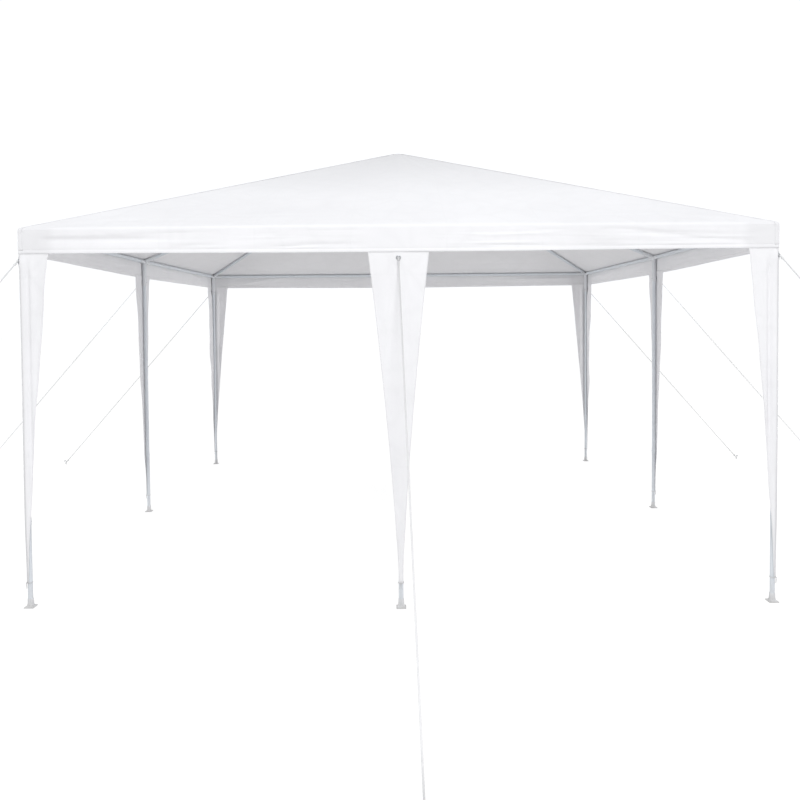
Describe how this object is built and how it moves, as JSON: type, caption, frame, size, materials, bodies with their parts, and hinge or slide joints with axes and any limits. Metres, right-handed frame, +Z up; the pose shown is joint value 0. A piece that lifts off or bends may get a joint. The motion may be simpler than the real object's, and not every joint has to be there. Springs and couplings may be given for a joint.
{
  "type": "party tent",
  "caption": "Square party tent with a pyramid sheet roof on a steel tube frame, tapered leg skirts, and taut guy ropes pegged to the ground.",
  "frame": {"origin": "middle of the tent's floor area, on the ground that its feet and pegs stand on", "axes": "+Z up, +X to the tent's right and +Y to its back, seen from the side that the picture faces; the front and back ropes run along Y"},
  "size_m": [7.346, 7.746, 2.8402],
  "materials": {
    "tube_paint": "satin bluish white powder coat on thin steel tube",
    "connector_paint": "satin light grey powder coat on welded steel sockets",
    "white_sheet": "white woven and coated plastic sheet, slight sheen, lets some light through",
    "white_cord": "matt twisted white cord",
    "foot_plastic": "moulded light grey plastic foot",
    "plated_steel": "zinc plated steel of pegs, eyelets and spring buttons"
  },
  "bodies": {
    "root": {"corner_connector_back_left": "connector_paint", "corner_connector_back_right": "connector_paint", "corner_connector_front_left": "connector_paint", "corner_connector_front_right": "connector_paint", "crown_connector": "connector_paint", "eave_tube_back_left": "tube_paint", "eave_tube_back_right": "tube_paint", "eave_tube_front_left": "tube_paint", "eave_tube_front_right": "tube_paint", "eave_tube_left_back": "tube_paint", "eave_tube_left_front": "tube_paint", "eave_tube_right_back": "tube_paint", "eave_tube_right_front": "tube_paint", "guy_rope_back_left": "white_cord", "guy_rope_back_middle": "white_cord", "guy_rope_back_right": "white_cord", "guy_rope_front_left": "white_cord", "guy_rope_front_middle": "white_cord", "guy_rope_front_right": "white_cord", "guy_rope_left_middle": "white_cord", "guy_rope_right_middle": "white_cord", "hip_rafter_back_left": "tube_paint", "hip_rafter_back_right": "tube_paint", "hip_rafter_front_left": "tube_paint", "hip_rafter_front_right": "tube_paint", "leg_back_left": "tube_paint", "leg_back_middle": "tube_paint", "leg_back_right": "tube_paint", "leg_front_left": "tube_paint", "leg_front_middle": "tube_paint", "leg_front_right": "tube_paint", "leg_left_middle": "tube_paint", "leg_right_middle": "tube_paint", "roof_panel_back": "white_sheet", "roof_panel_front": "white_sheet", "roof_panel_left": "white_sheet", "roof_panel_right": "white_sheet", "side_connector_back": "connector_paint", "side_connector_front": "connector_paint", "side_connector_left": "connector_paint", "side_connector_right": "connector_paint", "side_rafter_back": "tube_paint", "side_rafter_front": "tube_paint", "side_rafter_left": "tube_paint", "side_rafter_right": "tube_paint", "skirt_back_left": "white_sheet", "skirt_back_middle": "white_sheet", "skirt_back_right": "white_sheet", "skirt_front_left": "white_sheet", "skirt_front_middle": "white_sheet", "skirt_front_right": "white_sheet", "skirt_left_middle": "white_sheet", "skirt_right_middle": "white_sheet", "valance_back": "white_sheet", "valance_front": "white_sheet", "valance_left": "white_sheet", "valance_right": "white_sheet"}
  },
  "joints": []
}
